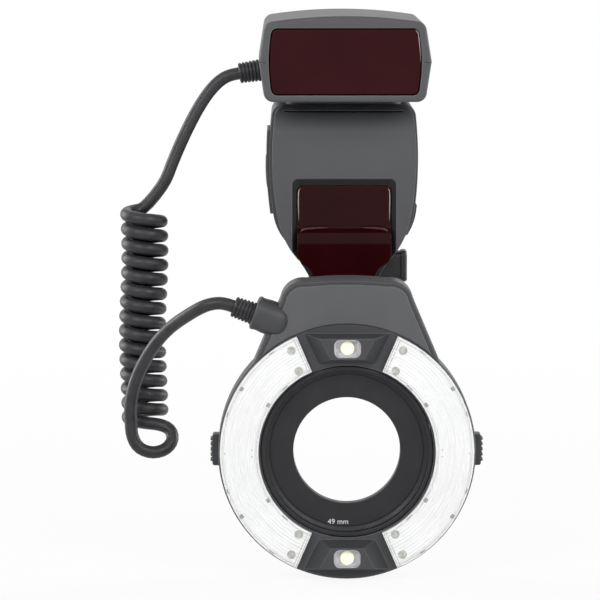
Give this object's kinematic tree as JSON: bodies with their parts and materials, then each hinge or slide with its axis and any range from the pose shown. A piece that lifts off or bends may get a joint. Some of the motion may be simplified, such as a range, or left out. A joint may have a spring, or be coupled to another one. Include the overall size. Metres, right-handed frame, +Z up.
{
  "type": "macro ring flash",
  "caption": "Macro ring flash: shoe-mounted control unit with rear controls, curly cord, and a ring head with tube windows, focusing lamps and a quick-release adapter ring.",
  "frame": {"origin": "centre of the underside of the shoe foot", "axes": "+Z up, -Y towards the subject, out of the ring head's face, +X to the right as seen from the front"},
  "size_m": [0.1536, 0.1486, 0.2331],
  "materials": {
    "body_plastic": "fine satin grain",
    "head_plastic": "fine satin grain",
    "foot_plastic": "satin",
    "red_window": "smoky dark red, clear moulding",
    "key_rubber": "matt",
    "dial_plastic": "semi-gloss",
    "cord_rubber": "satin",
    "clear_window": "clear moulding with fine ribs",
    "xenon_glass": "clear",
    "reflector_metal": "bright",
    "led_yellow": "phosphor",
    "adapter_metal": "black anodised",
    "steel": "bright",
    "contact_brass": "plated",
    "cell_jacket": "plain jacket",
    "capacitor_can": "sleeved",
    "board_green": "solder resist",
    "inner_plastic": "plain",
    "lcd_glass": "clear",
    "lcd_grey": "grey",
    "lamp_red": "red lamp"
  },
  "bodies": {
    "control_unit": {"foot_plate": "foot_plastic", "contact_pins": "contact_brass", "foot_block": "body_plastic", "rear_shell": "body_plastic", "front_cover": "body_plastic", "lower_window": "red_window", "assist_lamps": "lamp_red", "box_upper_shell": "body_plastic", "box_lower_shell": "body_plastic", "top_window": "red_window", "neck": "body_plastic", "battery_bay": "inner_plastic", "battery_cells": "cell_jacket", "battery_contacts": "contact_brass", "door_hinge_pin": "steel", "terminal_sockets": "inner_plastic", "control_panel": "body_plastic", "lcd_window": "lcd_glass", "lcd_panel": "lcd_grey", "main_board": "board_green", "driver_board": "board_green", "main_capacitor": "capacitor_can", "box_boot": "cord_rubber", "cord_upper": "cord_rubber", "cord_coil": "cord_rubber", "cord_lower": "cord_rubber"},
    "lock_lever": {"lock_lever": "foot_plastic"},
    "lock_pin": {"lock_pin": "steel"},
    "battery_door": {"battery_door": "body_plastic", "door_contacts": "contact_brass"},
    "terminal_cover": {"terminal_cover": "key_rubber"},
    "select_dial": {"select_dial": "dial_plastic"},
    "set_button": {"set_button": "key_rubber"},
    "test_button": {"test_button": "key_rubber"},
    "lamp_button": {"lamp_button": "key_rubber"},
    "power_lever": {"power_lever": "foot_plastic"},
    "ring_head": {"ring_front_housing": "head_plastic", "ring_rear_cover": "head_plastic", "cap_plate": "head_plastic", "left_tube_window": "clear_window", "right_tube_window": "clear_window", "tube_reflectors": "reflector_metal", "flash_tubes": "xenon_glass", "lamp_lenses": "clear_window", "lamp_leds": "led_yellow", "ring_board": "board_green", "elbow_housing": "head_plastic", "head_boot": "cord_rubber"},
    "right_latch": {"right_latch_plate": "steel", "right_release_button": "head_plastic"},
    "left_latch": {"left_latch_plate": "steel", "left_release_button": "head_plastic"},
    "adapter_ring": {"adapter_ring": "adapter_metal"},
    "function_button_1": {"function_button_1": "key_rubber"},
    "function_button_2": {"function_button_2": "key_rubber"},
    "function_button_3": {"function_button_3": "key_rubber"},
    "function_button_4": {"function_button_4": "key_rubber"}
  },
  "joints": [
    {"name": "lock_lever_turn", "type": "hinge", "parent": "control_unit", "child": "lock_lever", "pos_m": [0, 0, 0.0155], "axis": [0, 0, 1], "range_deg": [0, 40]},
    {"name": "lock_pin_slide", "type": "slide", "parent": "control_unit", "child": "lock_pin", "axis": [0, 0, -1], "range_m": [0, 0.0019]},
    {"name": "battery_door_hinge", "type": "hinge", "parent": "control_unit", "child": "battery_door", "pos_m": [-0.0304, 0.023, 0.0575], "axis": [0, 0, -1], "range_deg": [0, 95]},
    {"name": "terminal_cover_hinge", "type": "hinge", "parent": "control_unit", "child": "terminal_cover", "pos_m": [0.03122, 0.009, 0.036], "axis": [0, 0, 1], "range_deg": [0, 80]},
    {"name": "select_dial_turn", "type": "hinge", "parent": "control_unit", "child": "select_dial", "pos_m": [0, 0.034, 0.0412], "axis": [0, 1, 0], "continuous": true},
    {"name": "set_button_press", "type": "slide", "parent": "control_unit", "child": "set_button", "axis": [0, -1, 0], "range_m": [0, 0.0008], "stiffness_N_per_m": 600, "springref_m": -0.0004},
    {"name": "test_button_press", "type": "slide", "parent": "control_unit", "child": "test_button", "axis": [0, -1, 0], "range_m": [0, 0.0008], "stiffness_N_per_m": 600, "springref_m": -0.0004},
    {"name": "lamp_button_press", "type": "slide", "parent": "control_unit", "child": "lamp_button", "axis": [0, -1, 0], "range_m": [0, 0.0008], "stiffness_N_per_m": 600, "springref_m": -0.0004},
    {"name": "function_button_1_press", "type": "slide", "parent": "control_unit", "child": "function_button_1", "axis": [0, -1, 0], "range_m": [0, 0.0008], "stiffness_N_per_m": 600, "springref_m": -0.0004},
    {"name": "function_button_2_press", "type": "slide", "parent": "control_unit", "child": "function_button_2", "axis": [0, -1, 0], "range_m": [0, 0.0008], "stiffness_N_per_m": 600, "springref_m": -0.0004},
    {"name": "function_button_3_press", "type": "slide", "parent": "control_unit", "child": "function_button_3", "axis": [0, -1, 0], "range_m": [0, 0.0008], "stiffness_N_per_m": 600, "springref_m": -0.0004},
    {"name": "function_button_4_press", "type": "slide", "parent": "control_unit", "child": "function_button_4", "axis": [0, -1, 0], "range_m": [0, 0.0008], "stiffness_N_per_m": 600, "springref_m": -0.0004},
    {"name": "power_lever_turn", "type": "hinge", "parent": "control_unit", "child": "power_lever", "pos_m": [0.0182, 0.034, 0.0366], "axis": [0, 1, 0], "range_deg": [-30, 30]},
    {"name": "ring_head_reach", "type": "slide", "parent": "control_unit", "child": "ring_head", "axis": [0, -1, 0], "range_m": [0, 0.04], "deforming": ["cord_upper", "cord_coil", "cord_lower"]},
    {"name": "right_latch_press", "type": "slide", "parent": "ring_head", "child": "right_latch", "axis": [-1, 0, 0], "range_m": [0, 0.002], "stiffness_N_per_m": 500, "springref_m": -0.001},
    {"name": "left_latch_press", "type": "slide", "parent": "ring_head", "child": "left_latch", "axis": [1, 0, 0], "range_m": [0, 0.002], "stiffness_N_per_m": 500, "springref_m": -0.001},
    {"name": "adapter_ring_turn", "type": "hinge", "parent": "ring_head", "child": "adapter_ring", "pos_m": [0, -0.087, -0.053], "axis": [0, 1, 0], "continuous": true}
  ],
  "couplings": [
    {"joint": "lock_pin_slide", "follows": "lock_lever_turn", "m_per_rad": 0.00272}
  ]
}
